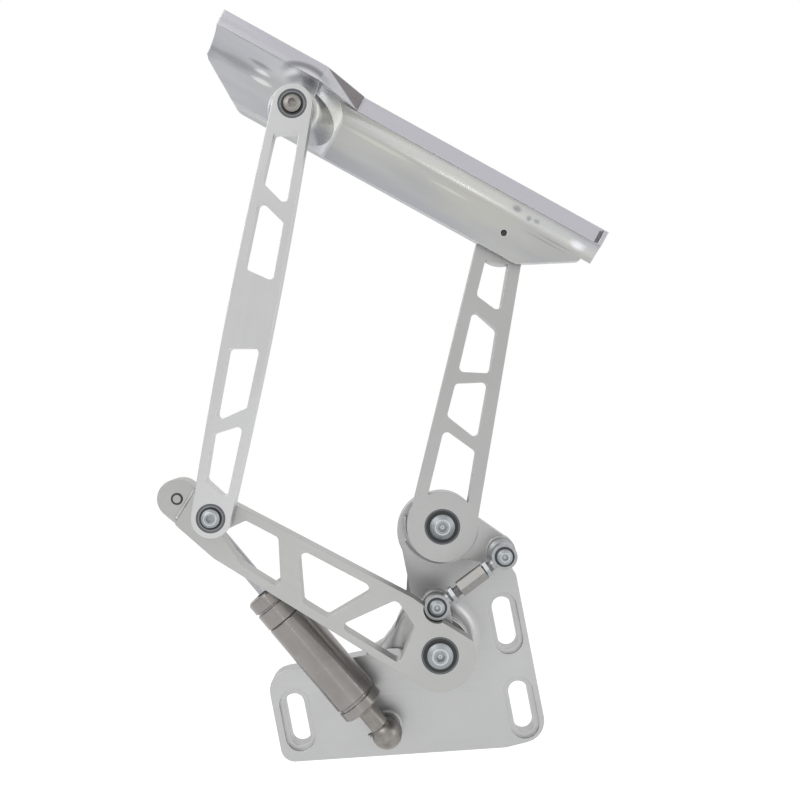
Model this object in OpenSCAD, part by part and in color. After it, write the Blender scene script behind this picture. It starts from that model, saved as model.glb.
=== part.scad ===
/* [Mounting plate] */
// Thickness of the mounting plate
plate_t = 12.7; // [9:0.1:16]
// Distance from the rear bolt line to the plate's rear edge
plate_rear = 13.1; // [12:0.1:20]
// Distance from the rear bolt line to the plate's front edge
plate_front = 157.7; // [150:0.1:175]
// Distance from the plate's centre height down to its bottom edge at the rear
plate_drop = 51.1; // [50:0.1:65]
// Rise of the bottom edge from the rear corner to the front corner
plate_rise = 18; // [10:0.5:22]
// Height of the rear corner above the plate's centre height
plate_top = 58.9; // [54:0.1:62]
// Height of the front flange's top edge
flange_top = 24.9; // [18:0.1:28]
// Radius of the sweep from the front flange up into the neck
neck_sweep = 45; // [30:1:50]
// Radius of the plate's head behind the rear pivot
head_r = 24.7; // [23:0.1:27]
// Distance between the two rear slots
slot_pitch = 55.6; // [50:0.1:60]
// Front slot's place from the centre of the rear slots
front_slot = [-143.7, -8.1]; // [-150:150]
// Width of the bolt slots
slot_w = 12.7; // [10:0.1:14]
// Length of the bolt slots, end to end
slot_len = 34; // [26:0.5:38]
// Width of the recess round each slot
slot_rim = 3.2; // [2:0.1:5]
// Depth of the recess round each slot
slot_rim_t = 2; // [1:0.1:3]

/* [Pivots on the plate] */
// Rear pivot's place from the centre of the rear slots
rear_pivot = [-28.2, 99.4]; // [-60:150]
// Main pivot's place from the centre of the rear slots
main_pivot = [-44.7, 27.9]; // [-60:150]
// Height of the boss under the rear arm
rear_boss_h = 6; // [4:0.1:10]
// Radius of the boss under the rear arm
rear_boss_r = 21.5; // [18:0.1:23]
// Radius of the tall boss under the lower arm
main_boss_r = 20; // [17:0.1:22]
// Radius of the blends at the foot of the bosses
blend_r = 8; // [3:0.5:10]

/* [Lower arm] */
// Distance between the lower arm's two pivots
lower_len = 158.5; // [152:0.5:165]
// Direction of the lower arm when the hinge is open, in degrees
lower_deg = 137.3; // [134:0.1:141]
// Thickness of the lower arm
lower_t = 12.7; // [11:0.1:14]
// Radius of the lower arm's hub
lower_hub_r = 21.5; // [20:0.1:23]
// Width above the pivot line at the hub end
lower_up_hub = 23; // [21:0.1:25]
// Width above the pivot line at the tip end
lower_up_tip = 12; // [11:0.1:14]
// Width below the pivot line
lower_down = 21.5; // [19:0.1:23]
// Rim left beside the lower arm's windows
lower_rim = 5.4; // [4:0.1:7]
// Strut pin's place, along and below the pivot line
pin_at = [184, 4.5]; // [0:190]
// Radius of the lobe that holds the strut pin
pin_lobe_r = 12; // [10:0.1:13]
// Thickness of the lobe that holds the strut pin
pin_lobe_t = 16; // [12:0.5:18]
// Length of the lever that works the link
lever_len = 27.5; // [27:0.1:29]
// Angle of the lever from the lower arm's line, in degrees
lever_deg = -55; // [-58:0.5:-52]
// Thickness of the lever behind the arm
lever_t = 8.8; // [6:0.1:10]
// Radius of the lever's end
lever_r = 8.5; // [7:0.1:9.5]
// Height of the seat that lifts the link off the lever
lever_seat_h = 1.9; // [1.5:0.1:2.5]
// Distance from the main pivot to the flat beside the link
lower_flat = 17.6; // [16:0.1:19]

/* [Front arm] */
// Distance between the front arm's two pivots
front_len = 247.8; // [244:0.1:252]
// Thickness of the front arm
front_t = 10; // [9:0.1:12]
// Radius of the front arm's ends
front_end_r = 11.7; // [11:0.1:13]
// Extra half width at the middle of the front arm
front_bulge = 2.3; // [1:0.1:4]
// Rim left beside the front arm's windows
front_rim = 4.9; // [4:0.1:6]

/* [Rear arm] */
// Distance between the rear arm's two pivots
rear_len = 186.5; // [183:0.5:190]
// Direction of the rear arm when the hinge is open, in degrees
rear_deg = 67.3; // [65:0.1:69]
// Thickness of the rear arm
rear_t = 12.7; // [11:0.1:14]
// Radius of the rear arm's hub
rear_hub_r = 22.3; // [21:0.1:24]
// Radius of the rear arm's upper end
rear_end_r = 14.5; // [13:0.1:16]
// Half width of the rear arm next to its hub
rear_half = 21.2; // [20:0.1:22]
// Rim left beside the rear arm's windows
rear_rim = 7.8; // [6:0.1:9]
// Distance of the link's pin from the rear pivot
ear_len = 39.7; // [38.5:0.1:41]
// Angle of the link's pin from the rear arm's line, in degrees
ear_deg = -101; // [-104:0.5:-98]
// Radius of the ear that holds the link's pin
ear_r = 9.2; // [8:0.1:10]

/* [Bonnet rail] */
// Distance between the rail's two pivots
rail_pitch = 145.5; // [142:0.1:149]
// Length of the rail ahead of the nose pivot
rail_nose = 62.5; // [55:0.5:70]
// Length of the rail behind the nose pivot
rail_tail = 201.5; // [190:0.5:210]
// Height of the top plate's underside over the pivot line
rail_under = 20.3; // [19:0.1:24]
// Thickness of the top plate
rail_top_t = 9.5; // [7:0.1:11]
// Depth of the web below the pivot line
rail_web_low = 13.2; // [12:0.1:15]
// Thickness of the web
rail_web_t = 6.2; // [5:0.1:8]
// Overhang of the top plate in front of the web
rail_lip = 6.4; // [4:0.1:9]
// Depth of the top plate behind the web
rail_shelf = 20; // [16:0.5:24]
// Radius of the hollow between web and top plate
cove_r = 14; // [9:0.5:14]
// Radius of the wider hollow at the nose
nose_cove_r = 19.5; // [15:0.5:20]
// Height of the top plate's lip in front of the web at the nose
nose_step = 9.8; // [8:0.1:12]
// Radius of the raised pad round the nose pivot
nose_pad_r = 13; // [12:0.1:15]
// Width of the blend round the nose pad
nose_blend = 13; // [10:0.1:15]
// Place where the nose's thick web starts to fall to the thin one
nose_fall = 4; // [2:0.5:8]
// Width of the bonnet bolt slots
bonnet_slot_w = 8.5; // [6.5:0.1:10]
// Length of the bonnet bolt slots
bonnet_slot_len = 20; // [14:0.5:26]
// Distance between the bonnet bolt slots
bonnet_pitch = 75; // [65:0.5:80]

/* [Bearings and screws] */
// Outer diameter of the two large bearings
big_od = 22; // [21:0.1:23]
// Width of the two large bearings
big_w = 7; // [6:0.1:8]
// Bore of the two large bearings
big_bore = 8; // [7:0.1:9]
// Outer diameter of the three small bearings
small_od = 17; // [16:0.1:17.5]
// Width of the three small bearings
small_w = 6; // [5:0.1:6.5]
// Bore of the three small bearings
small_bore = 6; // [5:0.1:6.5]
// Number of balls in each bearing
ball_count = 8; // [7:1:8]
// Head diameter of the large pivot screws
big_head_d = 15.6; // [14:0.1:17]
// Head diameter of the small pivot screws
small_head_d = 11; // [10:0.1:12]
// Depth of the threaded holes behind the pivots
thread_deep = 14; // [8:0.5:16]

/* [Adjustable link] */
// Outer radius of the rod ends
eye_r = 7.8; // [7.6:0.1:9]
// Radius of the rod end's ball
ball_r = 6.2; // [6.2:0.1:7]
// Width of the rod end's ball
ball_w = 8; // [7.5:0.1:9]
// Width of the rod end's body
eye_w = 6.6; // [5.5:0.1:7.4]
// Diameter of the rod end's shank
shank_d = 6; // [5:0.1:6.5]
// Length of the hexagonal sleeve
sleeve_len = 18.5; // [16:0.5:20]
// Width across the flats of the hexagonal sleeve
sleeve_af = 9.2; // [8.8:0.1:11]
// Thickness of the lock nuts
nut_t = 2.6; // [2.4:0.1:3]
// Width across the flats of the lock nuts
nut_af = 9.6; // [9:0.1:11]
// Diameter of the link's screws
pin_screw_d = 5; // [4.5:0.1:5.4]
// Head diameter of the link's screws
pin_head_d = 9.4; // [9:0.1:10]

/* [Gas strut] */
// Strut ball's place from the centre of the rear slots
ball_at = [-87.2, -22.1]; // [-95:0]
// Outer diameter of the strut's tube
strut_d = 28; // [24:0.1:28]
// Wall of the strut's tube
strut_wall = 2.5; // [1.5:0.1:4]
// Distance from the strut's ball to the tube's lower end
tube_from = 31; // [29:0.5:36]
// Length of the strut's tube
tube_len = 66; // [62:0.5:70]
// Length of the strut's upper cap
cap_len = 21; // [18:0.5:24]
// Diameter of the strut's rod
rod_d = 9.5; // [8:0.1:10]
// Travel that the piston keeps above the foot of the tube
piston_from = 51.6; // [48:0.1:52]
// Thickness of the piston
piston_t = 7; // [5:0.5:9]
// Radius of the ball on the base
stud_ball_r = 6; // [5:0.1:6.5]
// Outer radius of the ball socket
socket_r = 9.4; // [9:0.1:10]
// Diameter of the strut pin
strut_pin_d = 6.4; // [5:0.1:7]
// Outer radius of the strut rod's eye
strut_eye_r = 9.6; // [9.2:0.1:10]
// Width of the strut rod's eye
strut_eye_w = 9; // [7:0.5:10]

/* [Clearances] */
// Gap between faces that pass each other
side_gap = 0.3; // [0.2:0.05:0.5]
// Radial clearance of a shaft that turns in its hole
run_gap = 0.05; // [0.02:0.01:0.1]
// Radial clearance of a screw or ring in its seat
seat_gap = 0.02; // [0.01:0.01:0.05]
// Room on each side of the strut
strut_room = 2.05; // [1:0.05:3]
// Radial clearance in the nose pivot
nose_gap = 0.6; // [0.5:0.05:0.8]
// Radial clearance in the link's upper pivot
link_gap = 1.9; // [1.8:0.05:2.1]
// Radial clearance in the strut pin's eye
pin_gap = 2.5; // [2.4:0.05:2.7]

/* [Hidden] */
$fn = 64;

// Heights in front of the mounting plane
rear_back = plate_t + rear_boss_h + side_gap;
rear_face = rear_back + rear_t;
strut_mid = plate_t + strut_room + strut_d / 2;
lower_back = plate_t + 2 * strut_room + strut_d;
lower_face = lower_back + lower_t;
lever_back = lower_back - lever_t;
main_boss_top = lever_back - side_gap;
front_back = lower_face + side_gap;
front_face = front_back + front_t;
web_back = rear_face + side_gap;
web_face = web_back + rail_web_t;
tail_lip = web_face + rail_lip;
nose_lip = front_face - 3;
nose_web = nose_lip - nose_step;
shelf_back = web_back - rail_shelf;
link_back = lower_back;
link_mid = link_back + ball_w / 2;
link_face = link_back + ball_w;
pin_lobe_face = lower_back + 5.2;
pin_lobe_back = pin_lobe_face - pin_lobe_t;

// Places of the moving pivots when the hinge is open
function polar(r, a) = r * [cos(a), sin(a)];
function bearing_of(v) = atan2(v.y, v.x);
function meet(p, rp, q, rq) =
    let (d = norm(q - p), a = (rp * rp - rq * rq + d * d) / (2 * d), h = sqrt(rp * rp - a * a),
        u = (q - p) / d)
    p + a * u + h * [-u.y, u.x];
elbow = main_pivot + polar(lower_len, lower_deg);
tail = rear_pivot + polar(rear_len, rear_deg);
nose = meet(elbow, front_len, tail, rail_pitch);
front_deg = bearing_of(nose - elbow);
rail_deg = bearing_of(tail - nose);
lever_pin = main_pivot + polar(lever_len, lower_deg + lever_deg);
ear_pin = rear_pivot + polar(ear_len, rear_deg + ear_deg);
link_deg = bearing_of(ear_pin - lever_pin);
link_len = norm(ear_pin - lever_pin);
strut_top = main_pivot + polar(norm(pin_at), lower_deg + bearing_of(pin_at));
strut_deg = bearing_of(strut_top - ball_at);
strut_len = norm(strut_top - ball_at);

// Bearing sections
stub_lift = 0.4;
// Rim of an outer race in front of its seal, and the depth of the seal's seat
race_rim = 0.9;
seal_deep = 0.9;
function ring_r(od, bore) = (od + bore) / 4;
function ball_d(od, bore) = (od - bore) * 0.28;
function inner_land(od, bore) = ring_r(od, bore) - ball_d(od, bore) * 0.4;
function outer_land(od, bore) = ring_r(od, bore) + ball_d(od, bore) * 0.4;
stub_big_r = inner_land(big_od, big_bore) + 0.3;
stub_small_r = inner_land(small_od, small_bore) + 0.3;
tip_r = 3;
eye_neck_r = 4;
relief = 0.4;

// Turns a drawing that lies in X and Y, with height Z, to face the viewer
module upright() rotate([90, 0, 0]) children();

module on(place, deg = 0) translate([place.x, place.y, 0]) rotate([0, 0, deg]) children();

module slab(points, low, high) translate([0, 0, low]) linear_extrude(high - low) polygon(points);

module disc(r, low, high) translate([0, 0, low]) cylinder(r = r, h = high - low);

module along_strut() on(ball_at, strut_deg) translate([0, 0, strut_mid]) rotate([0, 90, 0]) children();

// Points of an outline whose corners carry their own radii: [x, y, radius]
function unit(v) = v / norm(v);
function corner(p, a, b, r) =
    let (ua = unit(a - p), ub = unit(b - p), half = acos(ua * ub) / 2,
        run = min(r / tan(half), 0.49 * norm(a - p), 0.49 * norm(b - p)),
        rr = run * tan(half), c = p + unit(ua + ub) * rr / sin(half),
        s = bearing_of(p + ua * run - c), e = bearing_of(p + ub * run - c),
        turn = e - s > 180 ? e - s - 360 : e - s < -180 ? e - s + 360 : e - s,
        n = max(3, ceil(abs(turn) / 15)))
    [for (i = [0 : n]) c + polar(rr, s + turn * i / n)];
function flat(p) = [p.x, p.y];
function rounded(points) =
    let (n = len(points))
    [for (i = [0 : n - 1]) each points[i].z == 0 ? [flat(points[i])]
        : corner(flat(points[i]), flat(points[(i + n - 1) % n]), flat(points[(i + 1) % n]), points[i].z)];

// A window between two slanting bars: each end is [distance along, lean, half width above, below]
function window(low, high, r) = rounded([
    [low[0] + low[2] * tan(low[1]), low[2], r],
    [high[0] + high[2] * tan(high[1]), high[2], r],
    [high[0] - high[3] * tan(high[1]), -high[3], r],
    [low[0] - low[3] * tan(low[1]), -low[3], r]]);

// A seat for a bearing in the face of an arm, with the smaller hole behind it
module bearing_seat(od, w, hole_r, low, face) {
    disc(od / 2 + seat_gap, face - w, face + 1);
    disc(hole_r, low - 1, face);
}

module outer_race(od, w, bore, face) {
    translate([0, 0, face - w]) rotate_extrude() difference() {
        translate([outer_land(od, bore), 0]) square([od / 2 - outer_land(od, bore), w]);
        translate([0, w - seal_deep - 0.05]) square([od / 2 - race_rim, w]);
        translate([ring_r(od, bore), w / 2]) circle(d = ball_d(od, bore) + 2 * seat_gap, $fn = 48);
    }
}

module inner_race(od, w, bore, face, gap = 0) {
    translate([0, 0, face - w]) rotate_extrude() difference() {
        translate([bore / 2, 0]) square([inner_land(od, bore) - bore / 2, w + stub_lift]);
        translate([ring_r(od, bore), w / 2]) circle(d = ball_d(od, bore) + 2 * (run_gap + gap), $fn = 48);
    }
}

module race_balls(od, w, bore, face) {
    for (i = [0 : ball_count - 1])
        rotate([0, 0, i * 360 / ball_count]) translate([ring_r(od, bore), 0, face - w / 2])
            sphere(d = ball_d(od, bore), $fn = 32);
}

module race_seal(od, bore, face, gap = 0) {
    difference() {
        disc(od / 2 - race_rim - seat_gap, face - seal_deep, face - 0.2);
        disc(inner_land(od, bore) + side_gap + gap, face - 2, face + 1);
    }
}

// A button head with a hexagonal socket, on a shank that reaches back from the seat
module button_screw(d, head_d, seat, back, socket_af) {
    head_h = head_d * 0.25;
    dome_r = head_d * 0.75;
    difference() {
        union() {
            disc(d / 2 - seat_gap, back, seat);
            translate([0, 0, seat]) intersection() {
                cylinder(d = head_d, h = head_h);
                translate([0, 0, head_h - dome_r]) sphere(r = dome_r);
            }
        }
        translate([0, 0, seat + head_h * 0.35]) cylinder(d = socket_af / cos(30), h = head_h, $fn = 6);
    }
}

module hex_ring(af, bore_d, low, high) {
    difference() {
        translate([0, 0, low]) cylinder(d = af / cos(30), h = high - low, $fn = 6);
        disc(bore_d / 2, low - 1, high + 1);
    }
}

// A slot that runs up and down, with round ends
module slot(w, length, low, high) {
    travel = (length - w) / 2;
    for (side = [-1, 1]) translate([0, side * travel, 0]) disc(w / 2, low, high);
    translate([-w / 2, -travel, low]) cube([w, 2 * travel, high - low]);
}

module bolt_slot() {
    slot(slot_w, slot_len, -1, plate_t + 1);
    slot(slot_w + 2 * slot_rim, slot_len + 2 * slot_rim, plate_t - slot_rim_t, plate_t + 1);
}

// A boss that blends into the plate: straight wall over a hollow foot
module blended_boss(r, foot_r, low, top) {
    translate([0, 0, low]) rotate_extrude() difference() {
        square([r + foot_r, top - low]);
        translate([r + foot_r, foot_r]) circle(r = foot_r);
        translate([r, foot_r]) square([foot_r + 1, top - low]);
    }
}

function plate_outline() = rounded([
    [plate_rear, plate_top, 7],
    [rear_pivot.x + head_r * 0.62, rear_pivot.y - head_r * 0.35, 4],
    [rear_pivot.x - 4.5, rear_pivot.y, 0],
    [rear_pivot.x - 4.5 - head_r + 1.2, rear_pivot.y - 8, 3],
    [rear_pivot.x - 4.5 - head_r + 1.7, flange_top, neck_sweep],
    [-plate_front, flange_top, 13],
    [-plate_front, -plate_drop + plate_rise, 9],
    [-14.7, -plate_drop, 12],
    [plate_rear, -plate_drop + 1.5, 14]]);

module base_plate() {
    color("lightgray") upright() difference() {
        union() {
            slab(plate_outline(), 0, plate_t);
            on([rear_pivot.x - 4.5, rear_pivot.y - 4.5]) disc(head_r, 0, plate_t);
            intersection() {
                on(rear_pivot) blended_boss(rear_boss_r + 1.4, 5.5, plate_t - relief, plate_t + rear_boss_h - relief);
                slab(plate_outline(), 1, 3 * plate_t);
            }
            on(rear_pivot) disc(rear_boss_r, plate_t - 1, plate_t + rear_boss_h);
            on(main_pivot) blended_boss(main_boss_r, blend_r, plate_t, main_boss_top);
            on(rear_pivot) disc(stub_big_r, plate_t, rear_face - big_w);
            on(main_pivot) disc(stub_big_r, plate_t, lower_face - big_w);
            on(ball_at) disc(stud_ball_r + 3, plate_t - 1, plate_t + 1.5);
        }
        for (at = [[0, slot_pitch / 2], [0, -slot_pitch / 2], front_slot]) on(at) bolt_slot();
        on(rear_pivot) disc(big_bore / 2, rear_face - big_w - thread_deep, rear_face);
        on(main_pivot) disc(big_bore / 2, main_boss_top - thread_deep, lower_face);
        on(ball_at) disc(tip_r, 3, plate_t + 2);
    }
}

module rear_pivot_screw() {
    color("gainsboro") upright() on(rear_pivot)
        button_screw(big_bore, big_head_d, rear_face + stub_lift, rear_face - big_w - thread_deep + 1, 5);
}

module rear_pivot_inner_race() {
    color("slategray") upright() on(rear_pivot) inner_race(big_od, big_w, big_bore, rear_face);
}

module main_pivot_screw() {
    color("gainsboro") upright() on(main_pivot)
        button_screw(big_bore, big_head_d, lower_face + stub_lift, main_boss_top - thread_deep + 1, 5);
}

module main_pivot_inner_race() {
    color("slategray") upright() on(main_pivot) inner_race(big_od, big_w, big_bore, lower_face);
}

module strut_ball_stud() {
    color("dimgray") upright() on(ball_at) {
        disc(tip_r - seat_gap, 4, plate_t + 2);
        translate([0, 0, plate_t + 1.5]) cylinder(d = 12, h = 2, $fn = 6);
        disc(tip_r, plate_t + 3, strut_mid);
        translate([0, 0, strut_mid]) sphere(r = stud_ball_r);
    }
}

// Half widths of the lower arm above and below its pivot line
function lower_up(u) = lower_up_hub + (lower_up_tip - lower_up_hub) * u / lower_len;
function lower_outline() = rounded([
    [0, lower_down, 4],
    [lower_len * 0.92, lower_down, 14],
    [pin_at.x - pin_lobe_r * 0.4, pin_at.y + pin_lobe_r - 0.5, 6],
    [pin_at.x - pin_lobe_r * 0.4, pin_at.y - pin_lobe_r + 1, 6],
    [lower_len, -lower_up_tip, 5],
    [lower_hub_r * 1.5, -lower_up(lower_hub_r * 1.5), 4],
    [0, -lower_hub_r + 3, 4]]);

// Lower arm's three windows, as shares of the length between the pivots
function lower_windows() =
    let (l = lower_len, down = lower_down - lower_rim)
    [[[l * 0.642, down, 3], [l * 0.82, down, 5], [l * 0.95, down * 0.42, 3],
        [l * 0.89, -lower_up(l * 0.89) + lower_rim, 3], [l * 0.752, -lower_up(l * 0.752) + lower_rim, 3]],
    [[l * 0.437, down, 3], [l * 0.545, down, 3], [l * 0.668, -lower_up(l * 0.668) + lower_rim, 4],
        [l * 0.337, -lower_up(l * 0.337) + lower_rim, 4]],
    [[l * 0.115, down + 0.8, 3], [l * 0.385, down + 0.8, 3], [l * 0.25, -lower_up(l * 0.25) + lower_rim, 4],
        [l * 0.138, -lower_rim * 1.3, 4]]];

module lower_arm() {
    color("silver") upright() difference() {
        union() {
            on(main_pivot, lower_deg) difference() {
                union() {
                    difference() {
                        slab(lower_outline(), lower_back, lower_face);
                        slab([[pin_at.x - 8, -40], [pin_at.x + 30, -40], [pin_at.x + 30, 40],
                            [pin_at.x - 8, 40]], pin_lobe_face, lower_face + 1);
                    }
                    disc(lower_hub_r, lower_back, lower_face);
                    on([lower_len, 0]) disc(lower_up_tip, lower_back, lower_face);
                    on(pin_at) disc(pin_lobe_r, pin_lobe_back, pin_lobe_face);
                }
                for (points = lower_windows()) slab(rounded(points), lower_back - 1, lower_face + 1);
                slab([[-lower_hub_r, -lower_hub_r - 1], [lever_len * 0.57, -lower_hub_r - 1],
                    [lever_len * 0.57, -lower_flat], [-lower_hub_r, -lower_flat]], lower_back - 1, lower_face + 1);
            }
            on(main_pivot) disc(lower_hub_r - 5, lever_back, lower_back + 1);
            on(lever_pin) disc(lever_r, lever_back, lower_back - lever_seat_h);
            on(lever_pin) disc(eye_neck_r, lever_back, link_back);
            on(main_pivot, lower_deg + lever_deg)
                slab([[9, -lever_r - 1], [lever_len, -lever_r + 0.5], [lever_len, lever_r - 0.5], [9, lever_r + 1]],
                    lever_back + relief, lower_back - lever_seat_h - relief);
            on(elbow) disc(stub_small_r, lower_face - 1, front_face - small_w);
        }
        on(lever_pin) disc(eye_r + 0.6, link_back, lower_face + 1);
        on(main_pivot) bearing_seat(big_od, big_w, stub_big_r + run_gap, lever_back, lower_face);
        on(elbow) disc(small_bore / 2, lower_back + 2, front_face);
        on(lever_pin) disc(pin_screw_d / 2, lever_back + 1, link_back + 1);
        on(strut_top) disc(strut_pin_d / 2, pin_lobe_back - 1, pin_lobe_face + 1);
    }
}

module main_pivot_outer_race() {
    color("slategray") upright() on(main_pivot) outer_race(big_od, big_w, big_bore, lower_face);
}

module main_pivot_balls() {
    color("white") upright() on(main_pivot) race_balls(big_od, big_w, big_bore, lower_face);
}

module main_pivot_seal() {
    color("black") upright() on(main_pivot) race_seal(big_od, big_bore, lower_face);
}

module elbow_screw() {
    color("gainsboro") upright() on(elbow)
        button_screw(small_bore, small_head_d, front_face + stub_lift, lower_back + 3, 4);
}

module elbow_inner_race() {
    color("slategray") upright() on(elbow) inner_race(small_od, small_w, small_bore, front_face);
}

module strut_pin() {
    color("gray") upright() on(strut_top)
        disc(strut_pin_d / 2 - seat_gap, strut_mid - strut_eye_w / 2 - 3, pin_lobe_face + 0.4);
}

// Snap ring behind the strut's eye
module strut_pin_clip() {
    color("dimgray") upright() on(strut_top) difference() {
        disc(strut_eye_r - 1, strut_mid - strut_eye_w / 2 - 1.5, strut_mid - strut_eye_w / 2 - side_gap);
        disc(strut_pin_d / 2, 0, strut_mid);
    }
}

module lever_screw() {
    color("gainsboro") upright() on(lever_pin)
        button_screw(pin_screw_d, pin_head_d, link_face, lever_back + 2, 3);
}

module rod_ball(bore_d) {
    translate([0, 0, link_mid]) difference() {
        intersection() {
            sphere(r = ball_r);
            cylinder(r = ball_r + 1, h = ball_w, center = true);
        }
        cylinder(d = bore_d, h = ball_w + 2, center = true);
    }
}

module lever_ball() {
    color("dimgray") upright() on(lever_pin) rod_ball(pin_screw_d);
}

// Half width of the front arm: round ends with a slow swell between them
function front_half(u) = front_end_r + front_bulge * sin(180 * u / front_len);
function front_outline() =
    let (n = 14)
    concat([for (i = [0 : n]) [front_len * i / n, front_half(front_len * i / n)]],
        [for (i = [n : -1 : 0]) [front_len * i / n, -front_half(front_len * i / n)]]);
function front_end(share, lean) =
    let (u = front_len * share, w = front_half(u) - front_rim) [u, lean, w, w];

// Front arm's windows: the ends of each, with the lean of the bar beyond it
front_windows = [[[0.069, 31], [0.214, -28.5]], [[0.25, -35], [0.41, -11]],
    [[0.587, 13], [0.744, 33.5]], [[0.781, 34.5], [0.932, -12]]];

module front_arm() {
    color("gainsboro") upright() on(elbow, front_deg) difference() {
        union() {
            slab(front_outline(), front_back, front_face);
            disc(front_end_r, front_back, front_face);
            on([front_len, 0]) disc(front_end_r, front_back, front_face);
        }
        for (w = front_windows)
            slab(window(front_end(w[0][0], w[0][1]), front_end(w[1][0], w[1][1]), 2.6),
                front_back - 1, front_face + 1);
        bearing_seat(small_od, small_w, stub_small_r + run_gap, front_back, front_face);
        on([front_len, 0])
            bearing_seat(small_od, small_w, stub_small_r + nose_gap, front_back, front_face);
    }
}

module elbow_outer_race() {
    color("slategray") upright() on(elbow) outer_race(small_od, small_w, small_bore, front_face);
}

module elbow_balls() {
    color("white") upright() on(elbow) race_balls(small_od, small_w, small_bore, front_face);
}

module elbow_seal() {
    color("black") upright() on(elbow) race_seal(small_od, small_bore, front_face);
}

module nose_outer_race() {
    color("slategray") upright() on(nose) outer_race(small_od, small_w, small_bore, front_face);
}

module nose_balls() {
    color("white") upright() on(nose) race_balls(small_od, small_w, small_bore, front_face);
}

module nose_seal() {
    color("black") upright() on(nose) race_seal(small_od, small_bore, front_face, nose_gap);
}

// Side view of the rail's web, along and above its pivot line
function web_outline() = rounded([
    [-rail_nose, rail_under + 1, 0],
    [-rail_nose, 3.2, 5],
    [-rail_nose + 27, -rail_web_low, 9],
    [rail_tail - 40, -rail_web_low, 4],
    [rail_tail - 7, 7, 2],
    [rail_tail - 6.4, 11.5, 1],
    [rail_tail - 3.2, 12.6, 2],
    [rail_tail, rail_under, 0],
    [rail_tail, rail_under + 1, 0]]);

// Plan of the top plate: the nose end stands forward of the rest
function top_plan() = [[-rail_nose, shelf_back], [rail_tail, shelf_back], [rail_tail, tail_lip],
    [nose_fall + 27, tail_lip], [nose_fall + 27, tail_lip + 1.5], [nose_fall + 3, nose_lip], [-rail_nose, nose_lip]];

// Steady fall from one height to another, as points of [distance, height]
function fall(from, to, high, low) =
    [for (i = [0 : 12]) let (t = i / 12) [from + (to - from) * t, high + (low - high) * t * t * (3 - 2 * t)]];
function nose_plan() = concat([[-rail_nose, web_back], [-rail_nose, nose_web]],
    fall(nose_fall, nose_fall + 24, nose_web, web_face - 0.5), [[nose_fall + 24, web_back]]);

module plan_slab(points, under, over)
    translate([0, over, 0]) rotate([90, 0, 0]) linear_extrude(over - under) polygon(points);

// Hollow corner between a web face and the top plate's edge, from one end to the other
module cove(from, to, web, lip, r) {
    high = lip - web - 2 * relief;
    drop = sqrt(r * r - pow(r - high, 2));
    difference() {
        translate([from, rail_under - drop, web - 1]) cube([to - from, drop + 1, high + 1 + relief]);
        translate([from - 1, rail_under - drop, web + r]) rotate([0, 90, 0]) cylinder(r = r, h = to - from + 2);
    }
}

// Pad round the nose pivot, falling away to the web in a smooth curve
module nose_pad() {
    rotate_extrude() polygon(concat([[0, web_back]], [[0, lower_face]],
        fall(nose_pad_r, nose_pad_r + nose_blend, lower_face, web_face - 0.5), [[nose_pad_r + nose_blend, web_back]]));
}

module bonnet_rail() {
    color("silver") upright() on(nose, rail_deg) difference() {
        union() {
            plan_slab(top_plan(), rail_under, rail_under + rail_top_t);
            slab(web_outline(), web_back, web_face);
            intersection() {
                slab(web_outline(), web_back, lower_face);
                union() {
                    plan_slab(nose_plan(), -rail_web_low - 1, rail_under + 1);
                    nose_pad();
                }
            }
            cove(-rail_nose, nose_fall + 3, nose_web, nose_lip, nose_cove_r);
            cove(nose_fall + 12, rail_tail, web_face, tail_lip, cove_r);
            disc(stub_small_r, lower_face - 1, front_face - small_w);
            on([rail_pitch, 0]) disc(stub_small_r - 0.5, rear_face, web_back + 1);
        }
        disc(small_bore / 2, web_back + 3, front_face);
        on([rail_pitch, 0]) disc(small_bore / 2, rear_face - 1, web_face - 1.6);
        on([rail_pitch, 0]) disc(2, rear_face, web_face + 10);
        for (i = [-1 : 1]) translate([rail_pitch / 4 + i * bonnet_pitch, 0, shelf_back + rail_shelf / 2])
            rotate([-90, 90, 0]) slot(bonnet_slot_w, bonnet_slot_len, rail_under - 1,
                rail_under + rail_top_t + 1);
        translate([rail_tail - 4.2, rail_under + 0.6, tail_lip - 2]) cube([1.3, rail_top_t - 1.2, 5]);
    }
}

module nose_screw() {
    color("rosybrown") upright() on(nose)
        button_screw(small_bore, small_head_d - 0.6, front_face + stub_lift, web_back + 4, 4);
}

module nose_inner_race() {
    color("slategray") upright() on(nose) inner_race(small_od, small_w, small_bore, front_face, nose_gap);
}

// Shoulder screw put in from behind the rear arm
module tail_screw() {
    color("gainsboro") upright() on(tail) difference() {
        union() {
            disc(small_bore / 2 - seat_gap, rear_face - small_w - 1, web_face - 1.8);
            disc(stub_small_r, rear_back - side_gap, rear_face - small_w);
            disc(small_head_d / 2 + 1.5, rear_back - side_gap - 3.5, rear_back - side_gap);
        }
        translate([0, 0, rear_back - side_gap - 4]) cylinder(d = 4 / cos(30), h = 3, $fn = 6);
    }
}

module tail_inner_race() {
    color("slategray") upright() on(tail) difference() {
        inner_race(small_od, small_w, small_bore, rear_face);
        disc(small_od / 2, rear_face, web_face);
    }
}

function rear_half_at(u) = rear_half + (rear_end_r - rear_half) * u / rear_len;
function rear_outline() = [[0, rear_half], [rear_len, rear_end_r], [rear_len, -rear_end_r], [0, -rear_half]];
function rear_end(u, lean) =
    let (w = rear_half_at(u) - rear_rim) [u, lean, w, w];

// Rear arm's windows between its slanting bars, as shares of the length
rear_windows = [[[0.08, 0], [0.295, 24]], [[0.337, 26.5], [0.493, -14]],
    [[0.528, -9], [0.71, 30]], [[0.762, 25], [0.93, 0]]];

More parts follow.
